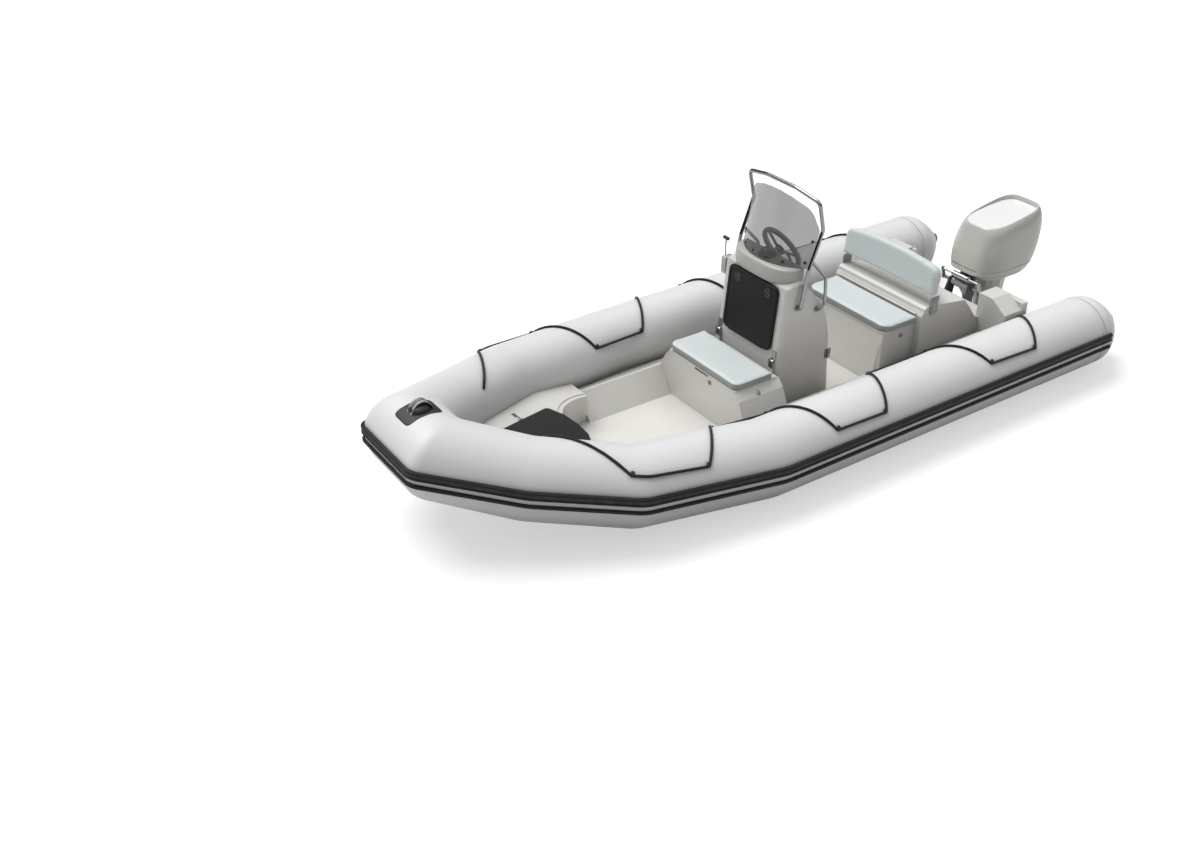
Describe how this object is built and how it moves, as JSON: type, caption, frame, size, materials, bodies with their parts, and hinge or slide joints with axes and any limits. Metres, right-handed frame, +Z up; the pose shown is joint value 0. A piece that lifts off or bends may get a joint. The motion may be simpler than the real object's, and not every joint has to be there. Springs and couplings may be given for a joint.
{
  "type": "rigid inflatable boat",
  "caption": "Rigid inflatable boat with an inflated collar, V hull, centre console and screen, seats over lockers, and a steered, tilting outboard motor.",
  "frame": {"origin": "on the centreline, at the water, amidships (the mount afloat)", "axes": "+X to the bow, +Y to port, +Z up"},
  "size_m": [5.946, 2.488, 2.485],
  "materials": {
    "tube_fabric": "matt coated fabric, very light grey",
    "black_rubber": "matt ribbed black",
    "rope_black": "black braided rope",
    "hull_gel": "moulded glass fibre, light gel coat",
    "deck_gel": "moulded glass fibre, warm light gel coat",
    "hatch_black": "satin black moulding",
    "seat_vinyl": "pale blue-grey vinyl",
    "stainless": "polished stainless steel",
    "screen": "tinted acrylic sheet",
    "wheel_grey": "soft grey rim",
    "motor_dark": "satin dark paint",
    "cowl_pearl": "pearl lacquer",
    "alloy_parts": "cast alloy"
  },
  "bodies": {
    "boat": {"tube_collar": "tube_fabric", "stern_cone_port": "tube_fabric", "stern_cone_starboard": "tube_fabric", "cone_cap_port": "black_rubber", "cone_cap_starboard": "black_rubber", "strake_upper": "black_rubber", "strake_lower": "black_rubber", "hull": "hull_gel", "deck_liner": "deck_gel", "bow_locker": "deck_gel", "transom_board": "deck_gel", "aft_moulding": "deck_gel", "bench_base": "deck_gel", "seat_base": "deck_gel", "console_shell": "deck_gel", "instrument_pod": "deck_gel", "lifeline_port": "rope_black", "lifeline_starboard": "rope_black", "rope_clips_port": "black_rubber", "rope_clips_starboard": "black_rubber", "bow_eye": "stainless", "stern_eye_port": "stainless", "stern_eye_starboard": "stainless", "grab_rail_starboard": "stainless", "compass": "hatch_black", "helm_column": "alloy_parts", "screen_rail": "stainless", "grab_rail": "stainless", "windscreen": "screen", "backrest": "seat_vinyl", "backrest_bracket_port": "stainless", "backrest_bracket_starboard": "stainless", "seat_hinge_port": "stainless", "seat_hinge_starboard": "stainless", "bow_pad": "black_rubber", "bow_handle": "black_rubber", "control_box": "hatch_black", "control_lever": "hatch_black", "clamp_bracket": "motor_dark"},
    "wheel": {"steering_wheel": "wheel_grey"},
    "front_seat_lid": {"front_cushion": "seat_vinyl", "front_seat_board": "deck_gel"},
    "bench_lid": {"bench_cushion": "seat_vinyl", "bench_board": "deck_gel"},
    "console_door": {"console_hatch": "hatch_black"},
    "forward_hatch": {"bow_hatch": "hatch_black"},
    "motor_swivel": {"swivel_bracket": "motor_dark", "steering_rod": "stainless"},
    "steering_slider": {"steering_cylinder": "motor_dark"},
    "motor": {"steering_yoke": "motor_dark", "motor_leg": "cowl_pearl", "motor_cowl": "cowl_pearl"},
    "screw": {"propeller": "motor_dark"}
  },
  "joints": [
    {"name": "wheel_turn", "type": "hinge", "parent": "boat", "child": "wheel", "pos_m": [-0.236, 0, 1.24], "axis": [-0.891, 0, 0.454], "range_deg": [-540, 540]},
    {"name": "front_seat_tip", "type": "hinge", "parent": "boat", "child": "front_seat_lid", "pos_m": [0.0582, 0, 0.551], "axis": [0, -1, 0], "range_deg": [0, 70]},
    {"name": "bench_seat_tip", "type": "hinge", "parent": "boat", "child": "bench_lid", "pos_m": [-1.2715, 0, 0.588], "axis": [0, -1, 0], "range_deg": [0, 75]},
    {"name": "console_door_swing", "type": "hinge", "parent": "boat", "child": "console_door", "pos_m": [0.05445, 0, 0.60149], "axis": [0, -1, 0], "range_deg": [-90, 0]},
    {"name": "forward_hatch_swing", "type": "hinge", "parent": "boat", "child": "forward_hatch", "pos_m": [2.05884, 0, 0.4729], "axis": [0, 1, 0], "range_deg": [0, 80]},
    {"name": "motor_tilt", "type": "hinge", "parent": "boat", "child": "motor_swivel", "pos_m": [-2.25, 0, 0.4], "axis": [0, 1, 0], "range_deg": [0, 62]},
    {"name": "motor_steer", "type": "hinge", "parent": "motor_swivel", "child": "motor", "pos_m": [-2.352, 0, 0.4], "axis": [0, 0, 1], "range_deg": [-30, 30]},
    {"name": "steering_slide", "type": "slide", "parent": "motor_swivel", "child": "steering_slider", "axis": [0, 1, 0], "range_m": [-0.075, 0.075]},
    {"name": "screw_turn", "type": "hinge", "parent": "motor", "child": "screw", "pos_m": [-2.69, 0, -0.52], "axis": [1, 0, 0], "continuous": true}
  ],
  "couplings": [
    {"joint": "motor_steer", "follows": "wheel_turn", "ratio": -0.0555},
    {"joint": "steering_slide", "follows": "wheel_turn", "m_per_rad": -0.0075}
  ]
}
